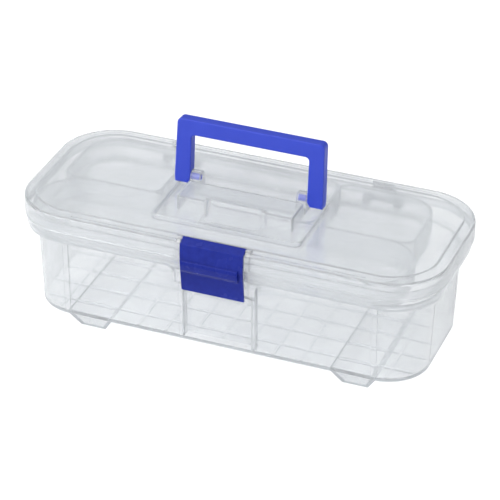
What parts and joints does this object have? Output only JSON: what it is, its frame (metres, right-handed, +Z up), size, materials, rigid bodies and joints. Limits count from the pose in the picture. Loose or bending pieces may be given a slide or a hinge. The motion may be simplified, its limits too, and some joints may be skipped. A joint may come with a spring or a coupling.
{
  "type": "toolbox with tray",
  "caption": "Clear plastic toolbox with a hinged lid, lift-out divided tray, folding blue carry handle and a blue front latch.",
  "frame": {"origin": "centre of the footprint, on the surface that the feet stand on", "axes": "+X along the box, -Y towards the latch side, +Z up"},
  "size_m": [0.3828, 0.1773, 0.1884],
  "materials": {
    "clear_tub": "frosted clear polypropylene",
    "clear_lid": "frosted clear polypropylene",
    "clear_tray": "frosted clear polypropylene",
    "blue_handle": "fine satin moulding",
    "blue_latch": "fine satin moulding",
    "pin_steel": "drawn wire"
  },
  "bodies": {
    "tub": {"tub": "clear_tub", "hinge_pin_left": "pin_steel", "hinge_pin_right": "pin_steel"},
    "lid": {"lid": "clear_lid", "latch_pin": "pin_steel"},
    "tray": {"tray": "clear_tray"},
    "handle": {"handle": "blue_handle"},
    "latch": {"latch": "blue_latch"}
  },
  "joints": [
    {"name": "lid_hinge", "type": "hinge", "parent": "tub", "child": "lid", "pos_m": [0, 0.0846, 0.1], "axis": [-1, 0, 0], "range_deg": [0, 100]},
    {"name": "tray_lift", "type": "slide", "parent": "tub", "child": "tray", "axis": [0, 0, 1], "range_m": [0, 0.042]},
    {"name": "handle_pivot", "type": "hinge", "parent": "lid", "child": "handle", "pos_m": [0, 0.003, 0.1339], "axis": [1, 0, 0], "range_deg": [0, 94]},
    {"name": "latch_pivot", "type": "hinge", "parent": "lid", "child": "latch", "pos_m": [0, -0.079, 0.1217], "axis": [-1, 0, 0], "range_deg": [0, 110]}
  ],
  "couplings": [
    {"joint": "tray_lift", "follows": "lid_hinge", "m_per_rad": 0.024}
  ]
}
